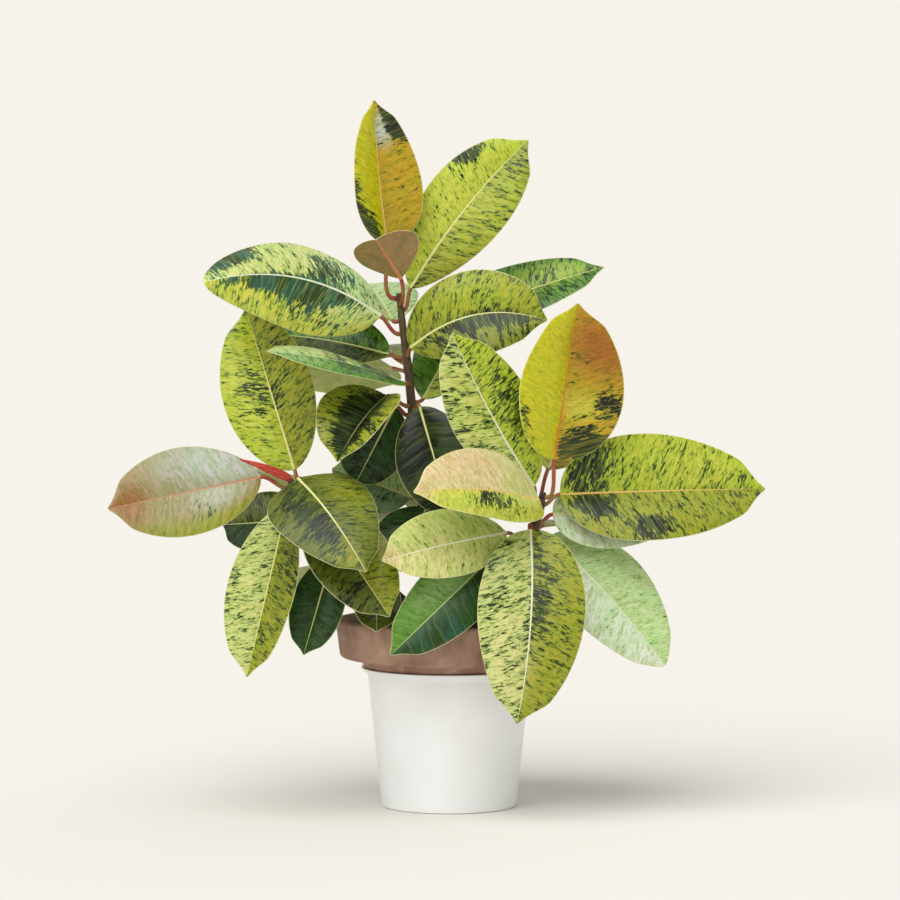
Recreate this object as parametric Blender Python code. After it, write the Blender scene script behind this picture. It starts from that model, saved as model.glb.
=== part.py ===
"""Potted rubber plant with marbled leaves: a clay pot hung in a white pot, soil, three stems, their leaves.

Metres, +Z up. The origin is the centre of the white pot's flat bottom, and the front is -Y.
"""

import math

import bpy
from mathutils import Vector

MM = 0.001
GAP = 0.3 * MM

POT_SIDES = 40
STEM_SIDES = 10

POT_HEIGHT = 140 * MM
POT_BASE_RADIUS = 67.5 * MM
POT_SHOULDER_RADIUS = 81.5 * MM
POT_LIP_RADIUS = 88 * MM
POT_LIP_HEIGHT = 8 * MM
POT_WALL = 5 * MM
POT_FLOOR = 8 * MM
POT_EDGE = 1.5 * MM

CLAY_RISE = 48 * MM
CLAY_NECK_RADIUS = 87 * MM
CLAY_SHOULDER_RADIUS = 86 * MM
CLAY_NECK_RISE = 7 * MM
CLAY_COLLAR_FOOT_RADIUS = 109 * MM
CLAY_COLLAR_RIM_RADIUS = 114 * MM
CLAY_COLLAR_CORNER = 6 * MM
CLAY_WALL = 10 * MM
CLAY_EDGE = 3 * MM
CLAY_BOTTOM = 20 * MM
CLAY_BASE_RADIUS = 56 * MM
CLAY_DRAIN_RADIUS = 9 * MM
CLAY_SIDE_CLEARANCE = 3 * MM

SOIL_BELOW_RIM = 12 * MM
SOIL_CROWN = 3 * MM
SOIL_CROWN_HALFWAY = 0.7
SOIL_EDGE = 2 * MM
STEM_HOLE_SIDES = 12
STEM_HOLE_CLEARANCE = 0.6 * MM

BLADE_STATIONS = (0.0, 0.06, 0.17, 0.32, 0.5, 0.67, 0.82, 0.92, 0.97, 1.0)
PETIOLE_STATIONS = 3
ACROSS = (-1.0, -0.5, 0.0, 0.5, 1.0)
BLADE_THICKNESS = 0.9 * MM
BLADE_RIB_DEPTH = 1.1 * MM
BLADE_TIP_HALF_WIDTH = 0.9 * MM
BLADE_FULLNESS = 0.56
DRIP_TIP_START = 0.92
DRIP_TIP_PINCH = 0.55
PETIOLE_RADIUS = 2.0 * MM
PETIOLE_FOOT_RADIUS = 2.6 * MM

POT_MOUTH_RADIUS = POT_LIP_RADIUS - POT_WALL
POT_THROAT_RADIUS = POT_SHOULDER_RADIUS - POT_WALL
CLAY_SEAT = POT_HEIGHT + GAP
CLAY_RIM = CLAY_SEAT + CLAY_RISE
SOIL_TOP = CLAY_RIM - SOIL_BELOW_RIM

# Each stem: (x, y, z, radius) in millimetres from its foot in the soil to its growing tip.
STEM_ROUTES = {
    "stem_main": (
        (-8, 12, 154, 7.5),
        (-8, 12, 170, 7.5),
        (-8, 12, 184, 7.3),
        (-10, 11, 200, 7.0),
        (-18, 8, 250, 6.3),
        (-27, 4, 310, 5.6),
        (-35, -1, 380, 4.8),
        (-41, -5, 440, 4.2),
        (-46, -8, 480, 3.7),
        (-50, -9, 514, 2.8),
    ),
    "stem_left": (
        (-30, -14, 154, 6.2),
        (-30, -14, 170, 6.2),
        (-30, -14, 182, 6.1),
        (-34, -16, 194, 6.0),
        (-72, -34, 232, 5.4),
        (-112, -47, 268, 4.9),
        (-142, -56, 304, 4.4),
        (-151, -59, 321, 3.9),
        (-157, -62, 331, 3.2),
    ),
    "stem_right": (
        (28, -12, 154, 6.2),
        (28, -12, 170, 6.2),
        (28, -12, 182, 6.1),
        (32, -14, 194, 6.0),
        (55, -28, 230, 5.4),
        (76, -39, 266, 4.9),
        (88, -47, 294, 4.4),
        (93, -50, 318, 3.2),
    ),
}

STEM_STEPS = 2

SHEATH_POINT = (-205, -88, 353)
SHEATH_RADII = (2.9, 4.2, 4.7, 4.3, 2.9, 0.8)
SHEATH_BEND = 0.12

LEAF_TONES = {
    "yellow": (0.60, 0.56, 0.04),
    "lime": (0.44, 0.55, 0.08),
    "olive": (0.24, 0.25, 0.03),
    "deep": (0.05, 0.13, 0.02),
    "pale": (0.58, 0.66, 0.33),
    "bronze": (0.33, 0.22, 0.09),
}


def clear_scene():
    for thing in list(bpy.data.objects):
        bpy.data.objects.remove(thing, do_unlink=True)


def finish(name, colour, roughness):
    material = bpy.data.materials.new(name)
    material.use_nodes = True
    shader = material.node_tree.nodes["Principled BSDF"]
    shader.inputs["Base Color"].default_value = (*colour, 1.0)
    shader.inputs["Roughness"].default_value = roughness
    shader.inputs["Metallic"].default_value = 0.0
    return material


def solid(name, points, faces, material):
    mesh = bpy.data.meshes.new(name)
    mesh.from_pydata([tuple(point) for point in points], [], faces)
    mesh.materials.append(material)
    mesh.shade_smooth()
    mesh.set_sharp_from_angle(angle=math.radians(40))
    made = bpy.data.objects.new(name, mesh)
    bpy.context.scene.collection.objects.link(made)
    return made


def ring_faces(rings, count):
    """Quads between neighbouring rings of count points, numbered ring after ring."""
    faces = []
    for ring in range(rings - 1):
        for side in range(count):
            after = (side + 1) % count
            low, high = ring * count, (ring + 1) * count
            faces.append((low + side, low + after, high + after, high + side))
    return faces


def turned(name, profile, material, closed=False):
    """Turns (radius, height) points round Z. The profile climbs the outside and comes down the inside.

    An open profile starts and ends on the axis, and a closed one runs round a drain hole.
    """
    points = []
    rings = profile if closed else profile[1:-1]
    for radius, height in rings:
        for side in range(POT_SIDES):
            angle = 2 * math.pi * side / POT_SIDES
            points.append((radius * math.cos(angle), radius * math.sin(angle), height))
    faces = ring_faces(len(rings), POT_SIDES)
    last = (len(rings) - 1) * POT_SIDES
    if closed:
        for side in range(POT_SIDES):
            after = (side + 1) % POT_SIDES
            faces.append((last + side, last + after, after, side))
        return solid(name, points, faces, material)
    first_pole, last_pole = len(points), len(points) + 1
    points.append((0, 0, profile[0][1]))
    points.append((0, 0, profile[-1][1]))
    for side in range(POT_SIDES):
        after = (side + 1) % POT_SIDES
        faces.append((first_pole, after, side))
        faces.append((last_pole, last + side, last + after))
    return solid(name, points, faces, material)


def white_pot():
    lip_foot = POT_HEIGHT - POT_LIP_HEIGHT
    profile = [
        (0, 0),
        (POT_BASE_RADIUS - POT_EDGE, 0),
        (POT_BASE_RADIUS, POT_EDGE),
        (POT_SHOULDER_RADIUS, lip_foot),
        (POT_LIP_RADIUS, POT_HEIGHT - POT_EDGE),
        (POT_LIP_RADIUS - POT_EDGE, POT_HEIGHT),
        (POT_MOUTH_RADIUS, POT_HEIGHT),
        (POT_THROAT_RADIUS, lip_foot),
        (POT_BASE_RADIUS - POT_WALL, POT_FLOOR),
        (0, POT_FLOOR),
    ]
    return turned("white_pot", profile, finish("white_glaze", (0.83, 0.82, 0.79), 0.35))


def clay_inside():
    """(radius, height) down the inside of the clay pot, from under its rim to its floor."""
    neck_top = CLAY_SEAT + CLAY_NECK_RISE
    body = POT_MOUTH_RADIUS - CLAY_SIDE_CLEARANCE - CLAY_WALL
    return [
        (CLAY_COLLAR_RIM_RADIUS - CLAY_WALL, CLAY_RIM - CLAY_EDGE),
        (CLAY_COLLAR_FOOT_RADIUS - CLAY_WALL, neck_top + CLAY_WALL + CLAY_EDGE),
        (CLAY_COLLAR_FOOT_RADIUS - CLAY_WALL - CLAY_COLLAR_CORNER, neck_top + CLAY_WALL),
        (CLAY_NECK_RADIUS - CLAY_WALL, CLAY_SEAT + CLAY_WALL + CLAY_EDGE),
        (body - CLAY_EDGE, CLAY_SEAT),
        (CLAY_BASE_RADIUS - CLAY_WALL, CLAY_BOTTOM + CLAY_WALL),
    ]


def clay_pot():
    """Hangs in the white pot by the shoulder above its body, which rests on the lip."""
    neck_top = CLAY_SEAT + CLAY_NECK_RISE
    profile = [
        (CLAY_DRAIN_RADIUS, CLAY_BOTTOM),
        (CLAY_BASE_RADIUS - CLAY_EDGE, CLAY_BOTTOM),
        (CLAY_BASE_RADIUS, CLAY_BOTTOM + CLAY_EDGE),
        (POT_THROAT_RADIUS - CLAY_SIDE_CLEARANCE, CLAY_SEAT - POT_LIP_HEIGHT),
        (POT_MOUTH_RADIUS - CLAY_SIDE_CLEARANCE, CLAY_SEAT),
        (CLAY_SHOULDER_RADIUS, CLAY_SEAT),
        (CLAY_NECK_RADIUS, neck_top),
        (CLAY_COLLAR_FOOT_RADIUS - CLAY_COLLAR_CORNER, neck_top + CLAY_EDGE),
        (CLAY_COLLAR_FOOT_RADIUS, neck_top + CLAY_EDGE + CLAY_COLLAR_CORNER),
        (CLAY_COLLAR_RIM_RADIUS, CLAY_RIM - CLAY_EDGE),
        (CLAY_COLLAR_RIM_RADIUS - CLAY_EDGE, CLAY_RIM),
        (CLAY_COLLAR_RIM_RADIUS - CLAY_WALL + CLAY_EDGE, CLAY_RIM),
        *clay_inside(),
        (CLAY_DRAIN_RADIUS, CLAY_BOTTOM + CLAY_WALL),
    ]
    return turned("clay_pot", profile, finish("brown_clay", (0.30, 0.17, 0.12), 0.8), closed=True)


def soil():
    """Fills the clay pot to below its rim, clear of the clay all round."""
    wall = [(radius - 2 * GAP, height + GAP) for radius, height in reversed(clay_inside()[1:])]
    edge_radius = wall[-1][0] + SOIL_EDGE
    profile = [
        (0, wall[0][1]),
        *wall,
        (edge_radius, SOIL_TOP),
        (edge_radius / 2, SOIL_TOP + SOIL_CROWN * SOIL_CROWN_HALFWAY),
        (0, SOIL_TOP + SOIL_CROWN),
    ]
    made = turned("soil", profile, finish("potting_soil", (0.035, 0.024, 0.018), 0.95))
    for stem_name, route in STEM_ROUTES.items():
        cut_stem_hole(made, stem_name, route)
    return made


def cut_stem_hole(soil_body, stem_name, route):
    """A plain hole a little wider than the stem's foot, open at the top of the soil."""
    x, y, foot, radius = [value * MM for value in route[0]]
    hole = radius + STEM_HOLE_CLEARANCE
    points = []
    for height in (foot - GAP, CLAY_RIM):
        for side in range(STEM_HOLE_SIDES):
            angle = 2 * math.pi * side / STEM_HOLE_SIDES
            points.append((x + hole * math.cos(angle), y + hole * math.sin(angle), height))
    faces = ring_faces(2, STEM_HOLE_SIDES)
    faces.append(tuple(reversed(range(STEM_HOLE_SIDES))))
    faces.append(tuple(range(STEM_HOLE_SIDES, len(points))))
    cutter = solid("hole_for_" + stem_name, points, faces, soil_body.data.materials[0])
    cutter.hide_render = True
    cutter.display_type = "WIRE"
    cut = soil_body.modifiers.new("hole_for_" + stem_name, "BOOLEAN")
    cut.operation = "DIFFERENCE"
    cut.solver = "EXACT"
    cut.object = cutter


def smooth_route(points, steps):
    """A curve through (x, y, z, radius) points, with steps stretches between neighbours, in metres."""
    ends = [points[0], *points, points[-1]]
    route = []
    for index in range(1, len(ends) - 2):
        before, start, end, after = (
            [value * MM for value in ends[index + offset]] for offset in (-1, 0, 1, 2)
        )
        for step in range(steps):
            share = step / steps
            route.append(
                [
                    0.5
                    * (
                        2 * q
                        + (r - p) * share
                        + (2 * p - 5 * q + 4 * r - s) * share**2
                        + (3 * q - p - 3 * r + s) * share**3
                    )
                    for p, q, r, s in zip(before, start, end, after)
                ]
            )
    route.append([value * MM for value in points[-1]])
    return route


def carried_frames(places, side):
    """(side, normal) across each stretch of a route, carried along it with no twist."""
    frames = []
    for index, place in enumerate(places):
        before = places[max(index - 1, 0)]
        after = places[min(index + 1, len(places) - 1)]
        along = (after - before).normalized()
        side = (side - along * side.dot(along)).normalized()
        frames.append((side, side.cross(along)))
    return frames


def round_rod(name, places, radii, frames, material):
    """A rod of STEM_SIDES sides with flat ends, square to its frames."""
    points = []
    for place, radius, (side, normal) in zip(places, radii, frames):
        for corner in range(STEM_SIDES):
            angle = 2 * math.pi * corner / STEM_SIDES
            points.append(place + radius * (side * math.cos(angle) - normal * math.sin(angle)))
    faces = ring_faces(len(places), STEM_SIDES)
    faces.append(tuple(reversed(range(STEM_SIDES))))
    faces.append(tuple(range(len(points) - STEM_SIDES, len(points))))
    return solid(name, points, faces, material)


def stem(name):
    route = smooth_route(STEM_ROUTES[name], STEM_STEPS)
    places = [Vector(point[:3]) for point in route]
    radii = [point[3] for point in route]
    frames = carried_frames(places, Vector((0, 1, 0)))
    return round_rod(name, places, radii, frames, finish(name + "_bark", (0.09, 0.05, 0.03), 0.6))


def place_on_stem(name, height):
    """(centre, direction, radius) of a stem where it passes this height."""
    route = smooth_route(STEM_ROUTES[name], STEM_STEPS)
    for low, high in zip(route, route[1:]):
        if low[2] <= height <= high[2]:
            share = (height - low[2]) / (high[2] - low[2])
            mixed = [a + (b - a) * share for a, b in zip(low, high)]
            along = Vector(high[:3]) - Vector(low[:3])
            return Vector(mixed[:3]), along.normalized(), mixed[3]
    raise ValueError(f"{name} has no height {height}")


def facing(azimuth, elevation):
    """The direction that a leaf's upper side looks to: azimuth 0 is to the front and 90 to the right."""
    turn, rise = math.radians(azimuth), math.radians(elevation)
    return Vector((math.sin(turn) * math.cos(rise), -math.cos(turn) * math.cos(rise), math.sin(rise)))


def blade_outline(share, widest, drip):
    """Half width of a blade as a share of its greatest, from its base to its tip, drawn in by drip."""
    if not 0 < share < 1:
        return 0.0
    body = math.sin(math.pi * share ** (math.log(0.5) / math.log(widest))) ** BLADE_FULLNESS
    pinch = max((share - DRIP_TIP_START) / (1 - DRIP_TIP_START), 0.0)
    return body * (1 - drip * pinch * pinch * (3 - 2 * pinch))


def section(across, half_width, fold, curl):
    """(sideways, upward) of a point across the blade, from fold at the rib to fold + curl at its edge."""
    reach = abs(across)
    if curl == 0:
        run, climb = reach * math.cos(fold), reach * math.sin(fold)
    else:
        run = (math.sin(fold + curl * reach) - math.sin(fold)) / curl
        climb = (math.cos(fold) - math.cos(fold + curl * reach)) / curl
    return math.copysign(run, across) * half_width, climb * half_width


def round_ring(place, side, normal, radius):
    """Ten points round a stalk, in the order of a blade's section: over the top, then back below."""
    step = math.pi / len(ACROSS)
    ring = []
    for index in range(2 * len(ACROSS)):
        angle = math.pi - step * (index + 0.5)
        ring.append(place + radius * (side * math.cos(angle) + normal * math.sin(angle)))
    return ring


def stalk_rings(stem_name, height, base, along, side):
    """Rings of the leaf stalk, which leaves the stem square to its skin and runs on into the rib."""
    centre, grows, radius = place_on_stem(stem_name, height)
    outward = base - centre
    outward = (outward - grows * outward.dot(grows)).normalized()
    start = centre + outward * (radius + GAP)
    pull = (base - start).length / 3
    pulls = (start, start + outward * pull, base - along * pull, base)
    rings = []
    for index in reversed(range(PETIOLE_STATIONS)):
        share = index / PETIOLE_STATIONS
        rest = 1 - share
        place = (
            pulls[0] * rest**3
            + pulls[1] * 3 * share * rest**2
            + pulls[2] * 3 * share**2 * rest
            + pulls[3] * share**3
        )
        ahead = (
            (pulls[1] - pulls[0]) * rest**2
            + (pulls[2] - pulls[1]) * 2 * share * rest
            + (pulls[3] - pulls[2]) * share**2
        ).normalized()
        side = (side - ahead * side.dot(ahead)).normalized()
        thick = PETIOLE_FOOT_RADIUS if index == 0 else PETIOLE_RADIUS
        rings.append(round_ring(place, side, side.cross(ahead), thick))
    return rings[::-1]


def leaf(
    name, stem_name, height, base, tip, width, looks, tone,
    fold=5, curl=0, bow=0, sweep=0, widest=0.5, drip=DRIP_TIP_PINCH
):
    """One leaf, stalk and blade in one skin, in millimetres and degrees.

    It leaves the stem at this height, and looks is the (azimuth, elevation) that its upper side faces.
    bow is how far the rib's middle stands off the straight line, to its upper side, and sweep to its right.
    fold lifts both halves from the rib, and curl bends them further towards their edges.
    The blade is widest at this share of its length, and a drip of 0 leaves its tip blunt.
    """
    base, tip = Vector(base) * MM, Vector(tip) * MM
    chord = tip - base
    upper = facing(*looks)
    upper = (upper - chord * (upper.dot(chord) / chord.length_squared)).normalized()
    arch = (upper * bow + chord.normalized().cross(upper) * sweep) * 4 * MM
    fold, curl = math.radians(fold), math.radians(curl)

    def rib_frame(share):
        """The rib's place, its direction, the blade's right and its upper side."""
        along = (chord + arch * (1 - 2 * share)).normalized()
        normal = (upper - along * upper.dot(along)).normalized()
        return base + chord * share + arch * share * (1 - share), along, along.cross(normal), normal

    _, along, side, normal = rib_frame(0)
    rings = stalk_rings(stem_name, height * MM, base, along, side)
    rings.append(round_ring(base, side, normal, PETIOLE_RADIUS))
    for share in BLADE_STATIONS[1:]:
        place, _, side, normal = rib_frame(share)
        half_width = max(blade_outline(share, widest, drip) * width / 2 * MM, BLADE_TIP_HALF_WIDTH)
        top, below = [], []
        for across in ACROSS:
            run, climb = section(across, half_width, fold, curl)
            middle = place + side * run + normal * climb
            rib_depth = BLADE_RIB_DEPTH * (1 - share) if across == 0 else 0
            top.append(middle + normal * BLADE_THICKNESS / 2)
            below.append(middle - normal * (BLADE_THICKNESS / 2 + rib_depth))
        rings.append(top + below[::-1])
    return solid(name, sum(rings, []), leaf_faces(len(rings)), leaf_finish(name, tone))


def leaf_faces(rings):
    """Triangles round the leaf, cut along the same lines on both of its sides, with its two ends closed."""
    count = 2 * len(ACROSS)
    faces = []
    for ring in range(rings - 1):
        low, high = ring * count, (ring + 1) * count
        for side in range(count):
            after = (side + 1) % count
            if side < len(ACROSS):
                faces.append((low + side, high + after, high + side))
                faces.append((low + side, low + after, high + after))
            else:
                faces.append((low + side, low + after, high + side))
                faces.append((low + after, high + after, high + side))
    faces.append(tuple(reversed(range(count))))
    last = (rings - 1) * count
    for side in range(1, count - 1):
        faces.append((last, last + side, last + side + 1))
    return faces


def leaf_finish(name, tone):
    return finish(name + "_skin", LEAF_TONES[tone], 0.4)


def crown_leaves():
    """The leaves round the top of the main stem."""
    main = "stem_main"
    leaf("leaf_crown_upright", main, 509, (-62, -12, 564), (-75, 0, 706), 85, (28, 5), "yellow",
         fold=26, bow=-4, widest=0.36)
    leaf("leaf_crown_right", main, 497, (-38, 4, 519), (79, 16, 666), 88, (-8, 12), "lime",
         fold=6, bow=4, sweep=-6, widest=0.54)
    leaf("leaf_crown_young", main, 503, (-48, -26, 529), (-72, -66, 568), 74, (180, 35), "bronze",
         fold=24, widest=0.55, drip=0)
    leaf("leaf_left_upper", main, 474, (-68, -20, 492), (-241, -70, 526), 106, (-5, 30), "lime",
         fold=-20, curl=-5, bow=12, sweep=18, widest=0.42, drip=0)
    leaf("leaf_right_arching", main, 452, (-38, -20, 460), (97, -40, 488), 92, (-5, 20), "olive",
         fold=8, curl=-4, bow=10, sweep=-17, widest=0.48)
    leaf("leaf_right_deep", main, 466, (-32, 2, 474), (155, 20, 539), 74, (0, 48), "deep", fold=8, bow=5)
    leaf("leaf_back_pale", main, 486, (-56, 10, 486), (-84, 120, 520), 78, (0, 60), "pale", fold=6, bow=4)


def middle_leaves():
    """The leaves along the main stem, seen between the two side shoots."""
    main = "stem_main"
    leaf("leaf_left_edgeways", main, 424, (-44, -19, 425), (-177, -112, 460), 82, (0, 70), "lime",
         fold=2, curl=-10, bow=6)
    leaf("leaf_left_shaded", main, 450, (-60, 8, 452), (-185, 66, 470), 80, (-10, 50), "deep", fold=6, bow=6)
    leaf("leaf_centre_folded", main, 402, (-62, -28, 412), (-109, -96, 351), 92, (-20, 35), "olive",
         fold=38, curl=-15, bow=8)
    leaf("leaf_centre_deep", main, 392, (-54, 2, 400), (-94, -4, 322), 70, (-10, 15), "deep", fold=8)
    leaf("leaf_centre_dark", main, 398, (-29, -24, 401), (3, -52, 293), 78, (-5, 10), "deep", fold=12, bow=6)
    leaf("leaf_centre_right", main, 404, (-26, 8, 408), (26, 50, 502), 66, (0, 35), "lime", fold=6)
    leaf("leaf_centre_grey", main, 306, (-38, 20, 308), (-118, 46, 335), 70, (-10, 20), "pale", bow=4)
    leaf("leaf_centre_low", main, 288, (-22, -12, 300), (-48, -58, 240), 76, (-5, 30), "deep", bow=4)


def right_shoot_leaves():
    """The leaves round the tip of the right shoot, and below it."""
    right = "stem_right"
    leaf("leaf_right_upright", right, 314, (104, -56, 351), (127, -50, 505), 118, (21, 8), "yellow",
         fold=21, widest=0.42)
    leaf("leaf_right_pale", right, 302, (84, -46, 324), (3, -64, 476), 86, (12, 10), "pale", sweep=-4)
    leaf("leaf_right_long", right, 306, (110, -36, 315), (316, 0, 318), 116, (0, 18), "lime",
         fold=18, bow=3, widest=0.4)
    leaf("leaf_front_cream", right, 297, (88, -64, 311), (-34, -150, 325), 94, (-15, 33), "pale",
         fold=12, bow=10, widest=0.42)
    leaf("leaf_front_lime", right, 268, (56, -67, 279), (-65, -143, 258), 74, (-12, 20), "pale", bow=4)
    leaf("leaf_front_green", right, 258, (58, -60, 270), (-57, -134, 165), 70, (10, 14), "deep", bow=12)
    leaf("leaf_front_hanging", right, 280, (80, -92, 284), (66, -140, 99), 106, (2, 12), "olive",
         bow=10, sweep=-6, widest=0.42)
    leaf("leaf_right_mint", right, 252, (100, -22, 272), (214, -50, 146), 98, (18, 30), "pale",
         bow=8, widest=0.46, drip=0.2)
    leaf("leaf_right_cream", right, 287, (103, -35, 295), (240, -14, 298), 76, (0, 20), "pale", widest=0.4)


def left_shoot_leaves():
    """The leaves round the tip of the left shoot, and below it."""
    left = "stem_left"
    leaf("leaf_left_tall", left, 322, (-153, -42, 340), (-203, 4, 498), 98, (-15, 8), "lime",
         fold=14, widest=0.47)
    leaf("leaf_left_bronze", left, 325, (-186, -62, 334), (-334, -96, 305), 94, (-5, 22), "bronze", fold=4)
    leaf("leaf_front_olive", left, 312, (-148, -80, 333), (-80, -166, 249), 104, (5, 38), "olive",
         fold=-8, bow=12, widest=0.32)
    leaf("leaf_front_flecked", left, 298, (-136, -76, 306), (-58, -130, 202), 80, (5, 25), "olive", bow=8)
    leaf("leaf_left_hanging", left, 304, (-160, -72, 305), (-198, -100, 140), 80, (-25, 10), "pale", fold=20)
    leaf("leaf_left_deep", left, 258, (-116, -60, 254), (-143, -84, 160), 54, (-5, 12), "deep", fold=6)
    leaf("leaf_low_small", left, 226, (-70, -62, 236), (-71, -118, 186), 48, (0, 25), "olive")
    leaf("leaf_left_shade", left, 286, (-146, -40, 290), (-226, -4, 282), 70, (0, 35), "deep", fold=6)


def back_leaves():
    """The leaves that lean away from the front."""
    main, left, right = "stem_main", "stem_left", "stem_right"
    leaf("leaf_back_left_high", main, 436, (-56, 16, 438), (-160, 148, 412), 88, (150, 55), "lime", bow=10)
    leaf("leaf_back_high", main, 444, (-57, 18, 452), (-76, 172, 440), 88, (180, 50), "olive", bow=12)
    leaf("leaf_back_right", main, 370, (-18, 18, 376), (92, 146, 338), 92, (145, 38), "lime", bow=10)
    leaf("leaf_back_middle", main, 356, (-34, 22, 360), (-96, 142, 318), 84, (-165, 40), "pale", bow=8)
    leaf("leaf_back_left", main, 292, (-36, 28, 294), (-130, 146, 238), 90, (-150, 50), "yellow", bow=12)
    leaf("leaf_back_low", main, 320, (-20, 30, 322), (16, 180, 252), 96, (175, 40), "olive", bow=14)
    leaf("leaf_back_right_low", right, 236, (74, -10, 250), (176, 112, 200), 90, (140, 40), "lime", bow=12)
    leaf("leaf_back_right_tip", right, 266, (94, -12, 282), (192, 96, 256), 88, (140, 45), "olive", bow=8)
    leaf("leaf_back_left_low", left, 226, (-84, -8, 242), (-176, 112, 196), 88, (-140, 40), "lime", bow=12)
    leaf("leaf_back_left_tip", left, 300, (-138, -34, 310), (-196, 78, 330), 84, (-160, 40), "yellow", bow=6)
    leaf("leaf_back_upright", right, 299, (99, -2, 338), (136, 98, 408), 74, (20, 50), "yellow", fold=8)


def bud_sheath():
    """The pointed red sheath round the next leaf, which grows on from the tip of the left shoot."""
    route = smooth_route(STEM_ROUTES["stem_left"], STEM_STEPS)
    end, before = Vector(route[-1][:3]), Vector(route[-2][:3])
    grows = (end - before).normalized()
    foot, point = end + grows * GAP, Vector(SHEATH_POINT) * MM
    bend = foot + grows * (point - foot).length * SHEATH_BEND
    places = []
    for index in range(len(SHEATH_RADII)):
        share = index / (len(SHEATH_RADII) - 1)
        places.append(foot * (1 - share) ** 2 + bend * 2 * share * (1 - share) + point * share**2)
    frames = carried_frames(places, Vector((0, 1, 0)))
    side = (frames[0][0] - grows * frames[0][0].dot(grows)).normalized()
    frames[0] = (side, side.cross(grows))
    radii = [radius * MM for radius in SHEATH_RADII]
    return round_rod("bud_sheath", places, radii, frames, finish("red_sheath", (0.60, 0.05, 0.03), 0.35))


def main():
    clear_scene()
    white_pot()
    clay_pot()
    soil()
    for name in STEM_ROUTES:
        stem(name)
    crown_leaves()
    middle_leaves()
    right_shoot_leaves()
    left_shoot_leaves()
    back_leaves()
    bud_sheath()


main()
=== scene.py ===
import math
import random

import bpy
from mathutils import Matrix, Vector, noise


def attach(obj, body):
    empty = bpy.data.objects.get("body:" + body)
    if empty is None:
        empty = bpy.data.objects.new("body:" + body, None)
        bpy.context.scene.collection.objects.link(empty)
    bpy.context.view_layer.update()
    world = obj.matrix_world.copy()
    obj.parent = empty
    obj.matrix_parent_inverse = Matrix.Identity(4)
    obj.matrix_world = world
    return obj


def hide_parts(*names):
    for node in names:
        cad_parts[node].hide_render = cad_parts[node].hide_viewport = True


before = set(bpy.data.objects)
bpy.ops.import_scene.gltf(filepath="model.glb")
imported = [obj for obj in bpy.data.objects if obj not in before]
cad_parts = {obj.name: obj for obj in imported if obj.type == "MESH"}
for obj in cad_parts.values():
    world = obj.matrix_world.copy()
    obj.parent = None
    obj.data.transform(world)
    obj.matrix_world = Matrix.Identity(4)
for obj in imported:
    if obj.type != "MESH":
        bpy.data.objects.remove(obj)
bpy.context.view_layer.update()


# The outer pot: one thin shell of white glazed earthenware, tapered, with a flared lip and a flat bottom.
# It was cast in a mould, so its satin glaze is smooth, with only faint clouds in it, and it stands by itself.
MM = 0.001
TURNED_SIDES = 120
POT_HEIGHT = 140 * MM
POT_BASE_RADIUS = 67.5 * MM
POT_SHOULDER_RADIUS = 81.5 * MM
POT_LIP_RADIUS = 88 * MM
POT_LIP_HEIGHT = 8 * MM
POT_WALL = 5 * MM
POT_FLOOR = 8 * MM
POT_EDGE = 1.5 * MM
POT_LIP_FOOT = POT_HEIGHT - POT_LIP_HEIGHT
POT_MOUTH_RADIUS = POT_LIP_RADIUS - POT_WALL
POT_THROAT_RADIUS = POT_SHOULDER_RADIUS - POT_WALL


def tint(red, green, blue):
    """A colour as a screen shows it, 0 to 255, turned into the linear light that a shader takes."""
    linear = []
    for value in (red, green, blue):
        share = value / 255
        linear.append(share / 12.92 if share <= 0.04045 else ((share + 0.055) / 1.055) ** 2.4)
    return (*linear, 1.0)


def node(tree, kind, inputs=None, **settings):
    """Adds a shader node. An input is a plain value, or another node's socket to link from."""
    made = tree.nodes.new("ShaderNode" + kind)
    for key, value in settings.items():
        setattr(made, key, value)
    for key, value in (inputs or {}).items():
        if isinstance(value, bpy.types.NodeSocket):
            tree.links.new(value, made.inputs[key])
        else:
            made.inputs[key].default_value = value
    return made.outputs


def maths(tree, operation, first, second=0.0):
    return node(tree, "Math", {0: first, 1: second}, operation=operation)[0]


def ramp(tree, value, start, end, low=0.0, high=1.0):
    """Runs smoothly from low to high as value goes from start to end."""
    inputs = {"Value": value, "From Min": start, "From Max": end, "To Min": low, "To Max": high}
    return node(tree, "MapRange", inputs, interpolation_type="SMOOTHSTEP")[0]


def blended(tree, share, first, second):
    return node(tree, "Mix", {0: share, 6: first, 7: second}, data_type="RGBA")[2]


def noise_of(tree, place, scale, detail=2.0, roughness=0.5):
    inputs = {"Vector": place, "Scale": scale, "Detail": detail, "Roughness": roughness}
    return node(tree, "TexNoise", inputs)[0]


def finish(name, roughness, **sockets):
    """A new material's node tree and its one shader, with the sockets that are the same all over."""
    material = bpy.data.materials.new(name)
    material.use_nodes = True
    shader = material.node_tree.nodes["Principled BSDF"]
    shader.inputs["Roughness"].default_value = roughness
    for key, value in sockets.items():
        shader.inputs[key.replace("_", " ")].default_value = value
    return material, material.node_tree, shader


def colour_and_relief(tree, shader, colour, relief, depth):
    """Links a colour, and a height of this many metres at most, to a shader."""
    tree.links.new(colour, shader.inputs["Base Color"])
    bump = node(tree, "Bump", {"Height": relief, "Distance": depth})
    tree.links.new(bump[0], shader.inputs["Normal"])


def piece(name, points, faces, materials, slot, *nodes):
    """A mesh that is part of the plant: it rides with it, and stands for the plain solids named last."""
    mesh = bpy.data.meshes.new(name)
    mesh.from_pydata([tuple(point) for point in points], [], faces)
    for material in materials:
        mesh.materials.append(material)
    mesh.shade_smooth()
    made = bpy.data.objects.new(name, mesh)
    bpy.context.scene.collection.objects.link(made)
    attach(made, "root")
    if nodes:
        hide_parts(*nodes)
    return made


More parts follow.
